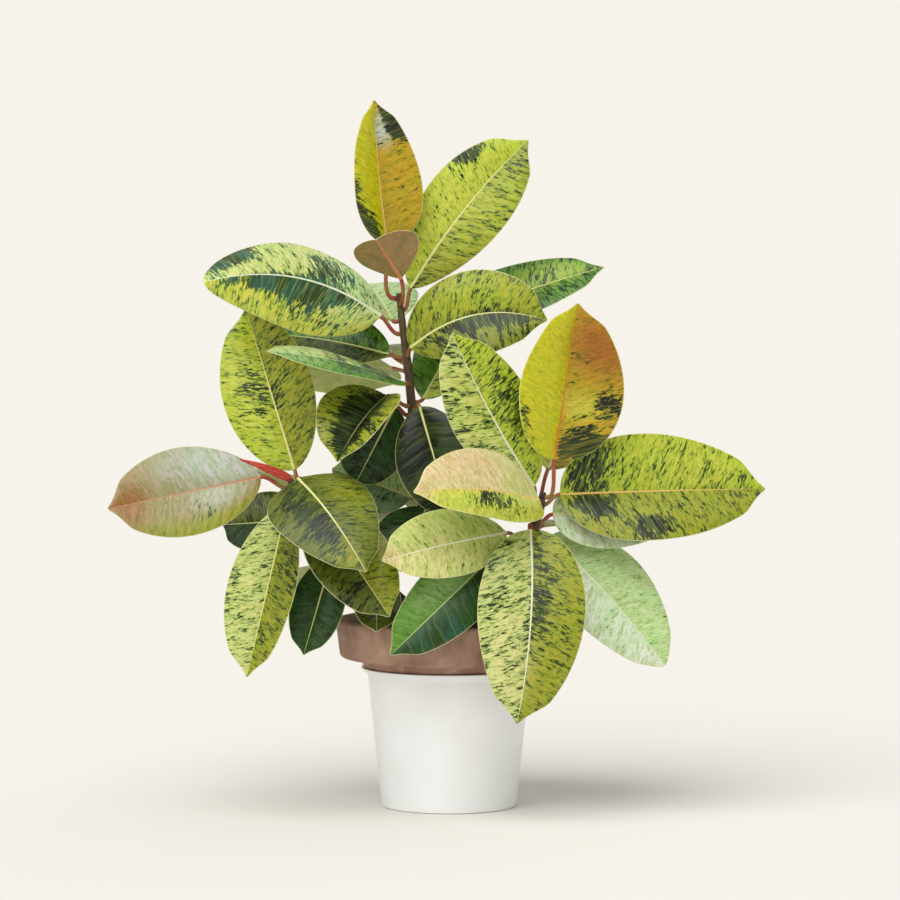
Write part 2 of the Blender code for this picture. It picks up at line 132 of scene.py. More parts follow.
def softened(corners, cut, steps=5):
    """Rounds the corners of a (radius, height) outline, each from this far before it to this far after."""
    points = [corners[0]]
    for before, corner, after in zip(corners, corners[1:], corners[2:]):
        corner = Vector(corner)
        back, ahead = Vector(before) - corner, Vector(after) - corner
        start = corner + back.normalized() * min(cut, back.length * 0.45)
        end = corner + ahead.normalized() * min(cut, ahead.length * 0.45)
        for step in range(steps + 1):
            share = step / steps
            points.append(start * (1 - share) ** 2 + corner * 2 * share * (1 - share) + end * share**2)
    points.append(corners[-1])
    return [tuple(point) for point in points]


def ring_faces(rings, sides, ends_meet=False):
    """Faces from each ring of points to the next one, and from the last to the first if the ends meet."""
    faces = []
    for ring in range(rings if ends_meet else rings - 1):
        low, high = ring * sides, (ring + 1) % rings * sides
        for side in range(sides):
            after = (side + 1) % sides
            faces.append((low + side, low + after, high + after, high + side))
    return faces


def turned(outline, ends_meet=False):
    """Points and faces of an outline turned round Z, from the axis to the axis or round a drain hole."""
    rings = outline if ends_meet else outline[1:-1]
    points = []
    for radius, height in rings:
        for side in range(TURNED_SIDES):
            angle = 2 * math.pi * side / TURNED_SIDES
            points.append((radius * math.cos(angle), radius * math.sin(angle), height))
    faces = ring_faces(len(rings), TURNED_SIDES, ends_meet)
    if not ends_meet:
        last = (len(rings) - 1) * TURNED_SIDES
        points.extend([(0, 0, outline[0][1]), (0, 0, outline[-1][1])])
        for side in range(TURNED_SIDES):
            after = (side + 1) % TURNED_SIDES
            faces.append((len(points) - 2, after, side))
            faces.append((len(points) - 1, last + side, last + after))
    return points, faces


def white_glaze():
    material, tree, shader = finish("white_glaze", 0.34, Coat_Weight=0.25, Coat_Roughness=0.22)
    place = node(tree, "TexCoord")["Object"]
    clouds = noise_of(tree, place, 18, 3)
    grain = noise_of(tree, place, 700, 2)
    colour = blended(tree, ramp(tree, clouds, 0.3, 0.75), tint(244, 246, 247), tint(238, 240, 240))
    colour = blended(tree, ramp(tree, grain, 0.68, 0.8, 0, 0.3), colour, tint(214, 212, 205))
    colour_and_relief(tree, shader, colour, clouds, 0.6 * MM)
    return material


pot_outline = softened([
    (0, 0),
    (POT_BASE_RADIUS, 0),
    (POT_SHOULDER_RADIUS, POT_LIP_FOOT),
    (POT_LIP_RADIUS, POT_HEIGHT - POT_EDGE),
    (POT_LIP_RADIUS, POT_HEIGHT),
    (POT_MOUTH_RADIUS, POT_HEIGHT),
    (POT_THROAT_RADIUS, POT_LIP_FOOT),
    (POT_BASE_RADIUS - POT_WALL, POT_FLOOR),
    (0, POT_FLOOR),
], POT_EDGE)
piece("white_pot_glazed", *turned(pot_outline), [white_glaze()], "white_glaze", "white_pot")


# The clay pot: unglazed brown clay, fired with a body that hangs inside the white pot by its shoulder.
# Its wide collar stands above the white lip and holds the soil. Salts have bloomed on it in pale clouds.
GAP = 0.3 * MM
CLAY_SEAT = POT_HEIGHT + GAP
CLAY_RIM = CLAY_SEAT + 48 * MM
CLAY_NECK_TOP = CLAY_SEAT + 7 * MM
CLAY_NECK_RADIUS = 87 * MM
CLAY_SHOULDER_RADIUS = 86 * MM
CLAY_COLLAR_FOOT_RADIUS = 109 * MM
CLAY_COLLAR_RIM_RADIUS = 114 * MM
CLAY_WALL = 10 * MM
CLAY_EDGE = 3 * MM
CLAY_ROUNDING = CLAY_EDGE * 1.3
CLAY_BOTTOM = 20 * MM
CLAY_BASE_RADIUS = 56 * MM
CLAY_DRAIN_RADIUS = 9 * MM
CLAY_SIDE_CLEARANCE = 3 * MM


def brown_clay():
    material, tree, shader = finish("brown_clay", 0.82)
    place = node(tree, "TexCoord")["Object"]
    clouds = noise_of(tree, place, 22, 4, 0.6)
    bloom = noise_of(tree, place, 60, 5, 0.65)
    grain = noise_of(tree, place, 1400, 2)
    colour = blended(tree, ramp(tree, clouds, 0.3, 0.7), tint(138, 104, 88), tint(176, 142, 120))
    colour = blended(tree, ramp(tree, bloom, 0.52, 0.75, 0, 0.5), colour, tint(206, 182, 164))
    colour = blended(tree, ramp(tree, grain, 0.5, 0.8, 0, 0.35), colour, tint(108, 78, 64))
    relief = maths(tree, "ADD", bloom, maths(tree, "MULTIPLY", grain, 0.5))
    colour_and_relief(tree, shader, colour, relief, 0.7 * MM)
    return material


clay_outline = softened([
    (CLAY_DRAIN_RADIUS, CLAY_BOTTOM),
    (CLAY_BASE_RADIUS, CLAY_BOTTOM),
    (POT_THROAT_RADIUS - CLAY_SIDE_CLEARANCE, CLAY_SEAT - POT_LIP_HEIGHT),
    (POT_MOUTH_RADIUS - CLAY_SIDE_CLEARANCE, CLAY_SEAT),
    (CLAY_SHOULDER_RADIUS, CLAY_SEAT),
    (CLAY_NECK_RADIUS, CLAY_NECK_TOP),
    (CLAY_COLLAR_FOOT_RADIUS, CLAY_NECK_TOP + CLAY_EDGE),
    (CLAY_COLLAR_RIM_RADIUS, CLAY_RIM),
    (CLAY_COLLAR_RIM_RADIUS - CLAY_WALL, CLAY_RIM),
    (CLAY_COLLAR_FOOT_RADIUS - CLAY_WALL, CLAY_NECK_TOP + CLAY_WALL),
    (CLAY_NECK_RADIUS - CLAY_WALL, CLAY_SEAT + CLAY_WALL),
    (CLAY_BASE_RADIUS - CLAY_WALL, CLAY_BOTTOM + CLAY_WALL),
    (CLAY_DRAIN_RADIUS, CLAY_BOTTOM + CLAY_WALL),
], CLAY_ROUNDING)
piece("clay_pot_fired", *turned(clay_outline, ends_meet=True), [brown_clay()], "brown_clay", "clay_pot")


# The soil: dark bark-based potting mix, filled to 12 mm below the rim, lumpy on top, with loose bits on it.
# It is heaped a little round the stems, and its body fills the clay pot down to the drain.
SOIL_TOP = CLAY_RIM - 12 * MM
SOIL_RINGS = 34
SOIL_RADIUS = CLAY_COLLAR_RIM_RADIUS - CLAY_WALL - 2.7 * MM
SOIL_LUMP = 2.6 * MM
SOIL_HEAP = 3.2 * MM
SOIL_HEAP_RADIUS = 60 * MM
CHIP_COUNT = 420
CHIP_SPREAD = 0.97
CHIP_LIFT = 0.3 * MM


def potting_soil():
    material, tree, shader = finish("potting_soil", 0.95)
    place = node(tree, "TexCoord")["Object"]
    crumbs = noise_of(tree, place, 260, 4, 0.7)
    clouds = noise_of(tree, place, 35, 3)
    bits = node(tree, "TexVoronoi", {"Vector": place, "Scale": 420.0})
    colour = blended(tree, ramp(tree, crumbs, 0.3, 0.75), tint(24, 18, 14), tint(74, 56, 42))
    colour = blended(tree, ramp(tree, clouds, 0.4, 0.7, 0, 0.5), colour, tint(38, 28, 22))
    colour_and_relief(tree, shader, colour, maths(tree, "SUBTRACT", crumbs, bits["Distance"]), 1.2 * MM)
    return material


def soil_height(x, y):
    """The lumpy top of the soil, a little higher in the middle, where the stems stand."""
    lumps = noise.fractal(Vector((x, y, 0)) * 95, 0.9, 2.1, 4)
    middle = max(0.0, 1 - math.hypot(x, y) / SOIL_HEAP_RADIUS)
    return SOIL_TOP + SOIL_HEAP * middle + SOIL_LUMP * max(-1.0, min(1.0, lumps))


def heaped_soil():
    """Rings over the lumpy top, from the middle out, then three more down inside the clay pot's wall."""
    rings = [(SOIL_RADIUS * ring / SOIL_RINGS, None) for ring in range(1, SOIL_RINGS + 1)]
    rings += [
        (CLAY_COLLAR_FOOT_RADIUS - CLAY_WALL - 4 * MM, CLAY_NECK_TOP + CLAY_WALL + 3 * MM),
        (CLAY_NECK_RADIUS - CLAY_WALL - 3 * MM, CLAY_SEAT + CLAY_WALL - 2 * MM),
        (CLAY_BASE_RADIUS - CLAY_WALL - 5 * MM, CLAY_BOTTOM + CLAY_WALL + 2 * MM),
    ]
    points = []
    for radius, height in rings:
        for side in range(TURNED_SIDES):
            angle = 2 * math.pi * side / TURNED_SIDES
            x, y = radius * math.cos(angle), radius * math.sin(angle)
            points.append((x, y, soil_height(x, y) if height is None else height))
    faces = [face[::-1] for face in ring_faces(len(rings), TURNED_SIDES)]
    bottom = len(points) - TURNED_SIDES
    points.extend([(0, 0, soil_height(0, 0)), (0, 0, rings[-1][1])])
    for side in range(TURNED_SIDES):
        after = (side + 1) % TURNED_SIDES
        faces.append((len(points) - 2, side, after))
        faces.append((len(points) - 1, bottom + after, bottom + side))
    return points, faces


def loose_chips():
    """Flat bits of bark, each a bent box with its corners pulled about, half sunk in the soil."""
    draw = random.Random(11)
    points, faces = [], []
    for _ in range(CHIP_COUNT):
        radius = SOIL_RADIUS * CHIP_SPREAD * math.sqrt(draw.random())
        angle = draw.uniform(0, 2 * math.pi)
        x, y = radius * math.cos(angle), radius * math.sin(angle)
        long = draw.uniform(1.6, 5.2) * MM
        wide = draw.uniform(1.0, 2.6) * MM
        thick = draw.uniform(0.6, 1.4) * MM
        turn = draw.uniform(0, math.pi)
        lean = draw.uniform(-0.5, 0.5)
        first = len(points)
        for corner in range(8):
            px = (1 if corner & 1 else -1) * long / 2 * draw.uniform(0.6, 1)
            py = (1 if corner & 2 else -1) * wide / 2 * draw.uniform(0.6, 1)
            pz = (1 if corner & 4 else -1) * thick / 2 * draw.uniform(0.7, 1) + px * lean
            points.append((
                x + px * math.cos(turn) - py * math.sin(turn),
                y + px * math.sin(turn) + py * math.cos(turn),
                soil_height(x, y) + CHIP_LIFT + pz,
            ))
        for face in ((0, 2, 3, 1), (4, 5, 7, 6), (0, 1, 5, 4), (2, 6, 7, 3), (0, 4, 6, 2), (1, 3, 7, 5)):
            faces.append(tuple(first + corner for corner in face))
    return points, faces


def bark_chips():
    material, tree, shader = finish("bark_chips", 0.9)
    place = node(tree, "TexCoord")["Object"]
    clouds = noise_of(tree, place, 140, 1)
    grain = noise_of(tree, place, 900, 3)
    colour = blended(tree, ramp(tree, clouds, 0.35, 0.7), tint(34, 24, 18), tint(108, 78, 54))
    colour_and_relief(tree, shader, colour, grain, 0.3 * MM)
    return material


piece("soil_heaped", *heaped_soil(), [potting_soil()], "potting_soil", "soil")
piece("soil_chips", *loose_chips(), [bark_chips()], "potting_soil")


# The stems: a woody main stem and two side shoots that grow from the soil beside it, brown and finely split.
# A ring scar is left where each old leaf fell, and the youngest length is olive. Each tapers to its tip.
STEM_SIDES = 24
STEM_STEPS = 9
COARSE_STEPS = 2
STEM_ROUTES = {
    "stem_main": (
        (-8, 12, 154, 7.5),
        (-8, 12, 170, 7.5),
        (-8, 12, 184, 7.3),
        (-10, 11, 200, 7.0),
        (-18, 8, 250, 6.3),
        (-27, 4, 310, 5.6),
        (-35, -1, 380, 4.8),
        (-41, -5, 440, 4.2),
        (-46, -8, 480, 3.7),
        (-50, -9, 514, 2.8),
    ),
    "stem_left": (
        (-30, -14, 154, 6.2),
        (-30, -14, 170, 6.2),
        (-30, -14, 182, 6.1),
        (-34, -16, 194, 6.0),
        (-72, -34, 232, 5.4),
        (-112, -47, 268, 4.9),
        (-142, -56, 304, 4.4),
        (-151, -59, 321, 3.9),
        (-157, -62, 331, 3.2),
    ),
    "stem_right": (
        (28, -12, 154, 6.2),
        (28, -12, 170, 6.2),
        (28, -12, 182, 6.1),
        (32, -14, 194, 6.0),
        (55, -28, 230, 5.4),
        (76, -39, 266, 4.9),
        (88, -47, 294, 4.4),
        (93, -50, 318, 3.2),
    ),
}
SCAR_SPACING = 17 * MM
SCAR_REACH = 1.4 * MM
SCAR_RISE = 0.5 * MM
BARK_ROUGHNESS = 0.05


def smooth_route(points, steps):
    """A curve through (x, y, z, radius) points, with steps stretches between neighbours, in metres."""
    ends = [points[0], *points, points[-1]]
    route = []
    for index in range(1, len(ends) - 2):
        near = [[value * MM for value in ends[index + offset]] for offset in (-1, 0, 1, 2)]
        for step in range(steps):
            share = step / steps
            route.append([
                0.5 * (
                    2 * q + (r - p) * share
                    + (2 * p - 5 * q + 4 * r - s) * share**2
                    + (3 * q - p - 3 * r + s) * share**3
                )
                for p, q, r, s in zip(*near)
            ])
    route.append([value * MM for value in points[-1]])
    return route


def carried_frames(places, side):
    """(side, normal) across each stretch of a route, carried along it with no twist."""
    frames = []
    for index, place in enumerate(places):
        along = (places[min(index + 1, len(places) - 1)] - places[max(index - 1, 0)]).normalized()
        side = (side - along * side.dot(along)).normalized()
        frames.append((side, side.cross(along)))
    return frames


def tube_faces(rings, sides):
    """Faces round a tube, ring after ring, with its two ends closed."""
    first, last = range(sides), range((rings - 1) * sides, rings * sides)
    return [*ring_faces(rings, sides), tuple(reversed(first)), tuple(last)]


def rod(places, radii):
    """Points and faces of a round rod, a little rough, whose radius differs from place to place."""
    points = []
    for place, radius, (side, normal) in zip(places, radii, carried_frames(places, Vector((0, 1, 0)))):
        for corner in range(STEM_SIDES):
            angle = 2 * math.pi * corner / STEM_SIDES
            spot = Vector((math.cos(angle), math.sin(angle), place.z * 90)) * 1.6
            rough = 1 + BARK_ROUGHNESS * noise.noise(spot)
            points.append(place + radius * rough * (side * math.cos(angle) - normal * math.sin(angle)))
    return points, tube_faces(len(places), STEM_SIDES)


def scarred(route):
    """The route's radii, thickened into a low ring at every old leaf scar."""
    radii, travelled = [], 0.0
    for index, point in enumerate(route):
        if index:
            travelled += (Vector(point[:3]) - Vector(route[index - 1][:3])).length
        offset = (travelled + SCAR_SPACING / 2) % SCAR_SPACING - SCAR_SPACING / 2
        radii.append(point[3] + SCAR_RISE * math.exp(-((offset / SCAR_REACH) ** 2)))
    return radii


def bark():
    material, tree, shader = finish("bark", 0.62)
    place = node(tree, "TexCoord")["Object"]
    stretched = node(tree, "Mapping", {0: place, "Scale": (1.0, 1.0, 0.22)})[0]
    cracks = noise_of(tree, stretched, 420, 4, 0.7)
    clouds = noise_of(tree, place, 40, 3)
    height = node(tree, "SeparateXYZ", {0: place})["Z"]
    colour = blended(tree, ramp(tree, cracks, 0.35, 0.7), tint(36, 24, 18), tint(104, 76, 56))
    colour = blended(tree, ramp(tree, clouds, 0.45, 0.7, 0, 0.5), colour, tint(112, 92, 62))
    colour = blended(tree, ramp(tree, height, 0.30, 0.52, 0, 0.55), colour, tint(96, 82, 38))
    colour_and_relief(tree, shader, colour, cracks, 0.8 * MM)
    return material


stem_bark = bark()
for stem_name, stem_points in STEM_ROUTES.items():
    route = smooth_route(stem_points, STEM_STEPS)
    places = [Vector(point[:3]) for point in route]
    piece(stem_name + "_bark", *rod(places, scarred(route)), [stem_bark], "bark", stem_name)


# The leaves at the crown: leathery oval blades, marbled in lemon, lime and dark green, round the tip of the
# main stem. Each grew as one piece with its stalk, which meets the stem square. A cream line edges the
# blade, and a rib keels it. The leaves of the sections below are made in the same way.
HALF_REACHES = (0, 0.03, 0.07, 0.15, 0.28, 0.44, 0.62, 0.8, 0.92, 0.975, 1)
ACROSS = tuple(-reach for reach in reversed(HALF_REACHES[1:])) + HALF_REACHES
SECTION_POINTS = 2 * len(ACROSS)
BLADE_STEPS = 50
BLADE_EVENNESS = 0.3
STALK_STEPS = 9
BLADE_THICKNESS = 0.8 * MM
BLADE_EDGE_THICKNESS = 0.06 * MM
BLADE_TIP_HALF_WIDTH = 0.9 * MM
BLADE_FULLNESS = 0.56
BLADE_PUFF = 0.045
DRIP_TIP_START = 0.87
DRIP_TIP_PINCH = 0.58
STALK_RADIUS = 2.0 * MM
STALK_FOOT_RADIUS = 2.6 * MM
RIB_TIP_RADIUS = 0.5 * MM
RIB_GROOVE = 0.45 * MM
RIB_GROOVE_REACH = 1.6 * MM
WAVE_HEIGHT = 0.9 * MM
WAVE_TURNS = (1.3, 2.2)
ROOT_LENGTH = 1 / 14
RIB_START_LENGTH = 1 / 12
PER_MILLIMETRE = 1000
PER_DECIMETRE = 10

TINTS = {
    "lemon": tint(214, 206, 26),
    "yellow": tint(208, 208, 84),
    "lime": tint(188, 200, 58),
    "pale_lime": tint(206, 212, 130),
    "mint": tint(200, 222, 164),
    "frost": tint(222, 232, 208),
    "cream": tint(232, 216, 162),
    "pink": tint(232, 196, 158),
    "gold": tint(192, 158, 26),
    "olive": tint(156, 158, 42),
    "moss": tint(104, 112, 36),
    "green": tint(100, 148, 50),
    "deep": tint(50, 86, 32),
    "rust": tint(160, 90, 30),
    "bronze": tint(164, 148, 106),
    # A pale silver-grey for painted sheen: a reflection of light painted into a leaf's colour.
    "painted_sheen": tint(194, 197, 192),
    "grey_green": tint(148, 176, 140),
}


def facing(azimuth, elevation):
    """The direction that a leaf's upper side looks to: azimuth 0 is to the front and 90 to the right."""
    turn, rise = math.radians(azimuth), math.radians(elevation)
    return Vector((math.sin(turn) * math.cos(rise), -math.cos(turn) * math.cos(rise), math.sin(rise)))


def place_on_stem(name, height):
    """(centre, direction, radius) of a stem where it passes this height."""
    route = smooth_route(STEM_ROUTES[name], COARSE_STEPS)
    for low, high in zip(route, route[1:]):
        if low[2] <= height <= high[2]:
            share = (height - low[2]) / (high[2] - low[2])
            mixed = [a + (b - a) * share for a, b in zip(low, high)]
            return Vector(mixed[:3]), (Vector(high[:3]) - Vector(low[:3])).normalized(), mixed[3]
    raise ValueError(f"{name} has no height {height}")


def blade_outline(share, widest, drip):
    """Half width of a blade as a share of its greatest, from its base to its tip, drawn in by drip."""
    if not 0 < share < 1:
        return 0.0
    body = math.sin(math.pi * share ** (math.log(0.5) / math.log(widest))) ** BLADE_FULLNESS
    pinch = max((share - DRIP_TIP_START) / (1 - DRIP_TIP_START), 0.0)
    return body * (1 - drip * pinch * pinch * (3 - 2 * pinch))


def bent_half(reach, fold, curl):
    """(run, climb, tilt) at a share of a half blade, bent from fold at the rib to fold + curl at the edge."""
    tilt = fold + curl * reach
    if curl == 0:
        return reach * math.cos(fold), reach * math.sin(fold), tilt
    return (math.sin(tilt) - math.sin(fold)) / curl, (math.cos(fold) - math.cos(tilt)) / curl, tilt


def stalk_points(stem_name, height, base, along, side):
    """Rings of the leaf stalk, from the stem's skin to the blade, in the order of a blade's section."""
    centre, grows, radius = place_on_stem(stem_name, height)
    outward = base - centre
    outward = (outward - grows * outward.dot(grows)).normalized()
    start = centre + outward * (radius + GAP)
    pull = (base - start).length / 3
    first, second = start + outward * pull, base - along * pull
    rings = []
    for index in reversed(range(STALK_STEPS)):
        share = index / STALK_STEPS
        rest = 1 - share
        place = start * rest**3 + first * 3 * share * rest**2 + second * 3 * share**2 * rest + base * share**3
        ahead = (
            (first - start) * rest**2 + (second - first) * 2 * share * rest + (base - second) * share**2
        ).normalized()
        side = (side - ahead * side.dot(ahead)).normalized()
        normal = side.cross(ahead)
        thick = STALK_RADIUS + (STALK_FOOT_RADIUS - STALK_RADIUS) * max(0.0, 1 - share * 4)
        over = [place + thick * (side * reach + normal * math.sqrt(1 - reach**2)) for reach in ACROSS]
        under = [place + thick * (side * reach - normal * math.sqrt(1 - reach**2)) for reach in ACROSS]
        rings.append(over + under[::-1])
    return rings[::-1]


def painted(reach, share, halves, flecks, patches):
    """The (colour, darkness) of a blade at this reach across it and share along it.

    A patch has a tint's name or dark, a centre across and along, a half width, a half length and a strength.
    """
    first, second = (Vector(TINTS[half][:3]) for half in halves)
    right = 0.5 if reach == 0 else float(reach > 0)
    colour = first.lerp(second, right)
    dark = flecks[0] + (flecks[1] - flecks[0]) * right
    for kind, across, along, half_wide, half_long, strength in patches:
        spread = ((reach - across) / half_wide) ** 2 + ((share - along) / half_long) ** 2
        amount = strength * math.exp(-(spread**1.5))
        if kind == "dark":
            dark += amount
        else:
            colour = colour.lerp(Vector(TINTS[kind][:3]), min(amount, 1.0))
    return colour, min(dark, 1.0)


def leaf(name, stem_name, height, base, tip, width, looks, halves, flecks, patches=(), *, slot,
         skin="cream_rib", fold=5, curl=0, bow=0, sweep=0, widest=0.5, drip=DRIP_TIP_PINCH):
    """One leaf, stalk and blade in one skin, in millimetres and degrees, painted by halves and patches."""
    base, tip = Vector(base) * MM, Vector(tip) * MM
    chord = tip - base
    upper = facing(*looks)
    upper = (upper - chord * (upper.dot(chord) / chord.length_squared)).normalized()
    arch = (upper * bow + chord.normalized().cross(upper) * sweep) * 4 * MM
    fold, curl = math.radians(fold), math.radians(curl)
    draw = random.Random(name)
    grain = draw.uniform(0, 90)
    waves = [(draw.uniform(*WAVE_TURNS), draw.uniform(0, 2 * math.pi)) for _ in range(2)]
    wave_height = WAVE_HEIGHT * width / 100

    along = (chord + arch).normalized()
    normal = (upper - along * upper.dot(along)).normalized()
    rings = stalk_points(stem_name, height * MM, base, along, along.cross(normal))
    places = [(0.0, -1.0, grain)] * (len(rings) * SECTION_POINTS)
    edges = [(9.0, 0.0, 0.0)] * len(places)
    colours = [TINTS[halves[0]]] * len(places)
    for step in range(BLADE_STEPS + 1):
        even = step / BLADE_STEPS
        share = BLADE_EVENNESS * even + (1 - BLADE_EVENNESS) / 2 * (1 - math.cos(math.pi * even))
        along = (chord + arch * (1 - 2 * share)).normalized()
        normal = (upper - along * upper.dot(along)).normalized()
        side = along.cross(normal)
        place = base + chord * share + arch * share * (1 - share)
        rib = STALK_RADIUS + (RIB_TIP_RADIUS - STALK_RADIUS) * share**0.7
        half_width = max(blade_outline(share, widest, drip) * width / 2 * MM, BLADE_TIP_HALF_WIDTH)
        half_width = max(half_width, rib * (1 - min(share / RIB_START_LENGTH, 1)))
        rounded = max(0.0, 1 - share / ROOT_LENGTH)
        top, below = [], []
        for across in ACROSS:
            reach = abs(across)
            run, climb, tilt = bent_half(reach, fold, curl)
            turns, phase = waves[across > 0]
            wave = math.sin(2 * math.pi * turns * share + phase)
            lift = wave_height * reach**2 * math.sin(math.pi * share) * wave
            lift += BLADE_PUFF * half_width * math.sin(math.pi * reach)
            out = side * math.copysign(1, across)
            up = normal * math.cos(tilt) - out * math.sin(tilt)
            middle = place + out * run * half_width + normal * climb * half_width + up * lift
            distance = reach * half_width
            thick = BLADE_THICKNESS / 2 * math.sqrt(max(0.0, 1 - reach**10)) + BLADE_EDGE_THICKNESS
            keel = math.sqrt(max(0.0, rib**2 - distance**2))
            groove = RIB_GROOVE * math.exp(-((distance / RIB_GROOVE_REACH) ** 2))
            groove = groove * (1 - rounded) * (1 - share)
            top.append(middle + up * (max(thick, keel * rounded) - groove))
            below.append(middle - up * max(thick, keel))
            colour, dark = painted(across, share, halves, flecks, patches)
            places.append((
                across * half_width * PER_DECIMETRE,
                share * chord.length * PER_DECIMETRE,
                grain,
            ))
            edges.append(((1 - reach) * half_width * PER_MILLIMETRE, share, dark))
            colours.append((*colour, 1.0))
        rings.append(top + below[::-1])
        for values in (places, edges, colours):
            values.extend(values[:-len(ACROSS) - 1:-1])
    faces = tube_faces(len(rings), SECTION_POINTS)
    made = piece("blade" + name[4:], sum(rings, []), faces, (*SKINS[skin], STALK_SKIN), slot, name)
    for label, kind, key, values in (
        ("leaf_place", "FLOAT_VECTOR", "vector", places),
        ("leaf_edge", "FLOAT_VECTOR", "vector", edges),
        ("leaf_colour", "FLOAT_COLOR", "color", colours),
    ):
        layer = made.data.attributes.new(label, kind, "POINT")
        layer.data.foreach_set(key, [number for value in values for number in value])
    made.data.polygons.foreach_set("material_index", skin_numbers(len(faces)))


def skin_numbers(count):
    """0 for the upper skin on top, 1 for the underside below, and 2 for the stalk's skin, of each face."""
    numbers = []
    for index in range(count):
        ring, side = divmod(index, SECTION_POINTS)
        if ring < STALK_STEPS or index == count - 2:
            numbers.append(2)
        else:
            numbers.append(int(len(ACROSS) <= side < SECTION_POINTS - 1))
    return numbers


VEIN_LEAN = 0.38
VEINS_PER_DECIMETRE = 8.5
HALF_SHIFT = 4.7
FLECK_LIMIT = 0.705
FLECK_GAIN = 0.42
RIB_HALF_WIDTH = 1.25 * MM
UNDERSIDE_RIB_HALF_WIDTH = 1.7 * MM


def leaf_coordinates(tree):
    """(reach, vein, offset, edge, share, dark) over a leaf. vein is the same all along a side vein."""
    place = node(tree, "SeparateXYZ", {0: node(tree, "Attribute", attribute_name="leaf_place")["Vector"]})
    edge = node(tree, "SeparateXYZ", {0: node(tree, "Attribute", attribute_name="leaf_edge")["Vector"]})
    reach = maths(tree, "ABSOLUTE", place["X"])
    vein = maths(tree, "SUBTRACT", place["Y"], maths(tree, "MULTIPLY", reach, VEIN_LEAN))
    side = maths(tree, "MULTIPLY", maths(tree, "SIGN", place["X"]), HALF_SHIFT)
    return reach, vein, maths(tree, "ADD", place["Z"], side), edge["X"], edge["Y"], edge["Z"]


def streaks(tree, reach, vein, offset, across_veins, along_veins, detail, shift):
    """Noise drawn out along the side veins."""
    vector = node(tree, "CombineXYZ", {
        0: maths(tree, "MULTIPLY", vein, across_veins),
        1: maths(tree, "MULTIPLY", reach, along_veins),
        2: maths(tree, "ADD", offset, shift),
    })[0]
    return noise_of(tree, vector, 1.0, detail, 0.6)


def times(tree, colour, red, green, blue):
    return node(tree, "VectorMath", {0: colour, 1: (red, green, blue)}, operation="MULTIPLY")[0]


def vein_ridges(tree, vein, clouds):
    """0 on each side vein, and up to 0.5 halfway to the next. The veins wander a little."""
    wander = maths(tree, "MULTIPLY", clouds, 1.4)
    count = maths(tree, "ADD", maths(tree, "MULTIPLY", vein, VEINS_PER_DECIMETRE), wander)
    return maths(tree, "ABSOLUTE", maths(tree, "SUBTRACT", maths(tree, "FRACT", count), 0.5))


def rib_line(tree, colour, rib, reach, share, half_width, runs_out, blur):
    """A colour with the rib drawn down its middle, which thins towards a point past the blade's tip.

    Its edge blurs between two shares of its half width.
    """
    taper = maths(tree, "MULTIPLY", maths(tree, "SUBTRACT", runs_out, share), half_width * PER_DECIMETRE)
    on_rib = ramp(tree, maths(tree, "DIVIDE", reach, taper), *blur, 1, 0)
    return blended(tree, on_rib, colour, rib)


def marbled_skin(name, dark, blotch, rib, vein_strength=0.14):
    """Satin upper skin: mottled colour, dark flecks along the side veins, pale veins, rib and edge line.

    A fleck shows where the streaks rise over a limit, which sinks as the leaf's darkness grows.
    """
    material, tree, shader = finish(name, 0.34, Specular_IOR_Level=0.28, Coat_Weight=0.08, Coat_Roughness=0.2)
    reach, vein, offset, edge, share, darkness = leaf_coordinates(tree)
    fine = streaks(tree, reach, vein, offset, 64, 20, 2, 0)
    broad = streaks(tree, reach, vein, offset, 24, 7, 2, 20)
    combed = streaks(tree, reach, vein, offset, 60, 4, 1, 40)
    clouds = streaks(tree, reach, vein, offset, 6, 4, 1, 60)
    base = node(tree, "Attribute", attribute_name="leaf_colour")["Color"]
    tone = maths(tree, "ADD", maths(tree, "MULTIPLY", fine, 0.55), maths(tree, "MULTIPLY", broad, 0.45))
    light, shaded = times(tree, base, 1.04, 1.0, 1.1), times(tree, base, 0.66, 0.74, 0.45)
    colour = blended(tree, ramp(tree, tone, 0.38, 0.6), light, shaded)
    colour = blended(tree, ramp(tree, clouds, 0.42, 0.66, 0, 0.4), colour, times(tree, base, 0.78, 1.0, 0.75))
    mixed = maths(tree, "ADD", maths(tree, "MULTIPLY", fine, 0.45), maths(tree, "MULTIPLY", broad, 0.43))
    mixed = maths(tree, "ADD", mixed, maths(tree, "MULTIPLY", clouds, 0.12))
    limit = maths(tree, "SUBTRACT", FLECK_LIMIT, maths(tree, "MULTIPLY", darkness, FLECK_GAIN))
    above = maths(tree, "SUBTRACT", mixed, limit)
    halo = times(tree, base, 0.42, 0.6, 0.34)
    colour = blended(tree, ramp(tree, above, -0.07, -0.005, 0, 0.7), colour, halo)
    patch = blended(tree, ramp(tree, clouds, 0.42, 0.6), dark, blotch)
    patch = blended(tree, ramp(tree, combed, 0.5, 0.72, 0, 0.75), patch, times(tree, base, 0.34, 0.5, 0.5))
    colour = blended(tree, ramp(tree, above, -0.006, 0.026), colour, patch)
    ridges = vein_ridges(tree, vein, clouds)
    veins = ramp(tree, ridges, 0.0, 0.1, 1, 0)
    pale = blended(tree, 0.2, base, tint(222, 230, 176))
    colour = blended(tree, maths(tree, "MULTIPLY", veins, vein_strength), colour, pale)
    colour = rib_line(tree, colour, rib, reach, share, RIB_HALF_WIDTH, 1.15, (0.55, 1.25))
    colour = blended(tree, ramp(tree, edge, 0.35, 0.85, 0.75, 0), colour, tint(226, 222, 168))
    relief = maths(tree, "ADD", maths(tree, "MULTIPLY", ridges, 1.6), maths(tree, "MULTIPLY", fine, 0.45))
    colour_and_relief(tree, shader, colour, relief, 0.4 * MM)
    return material


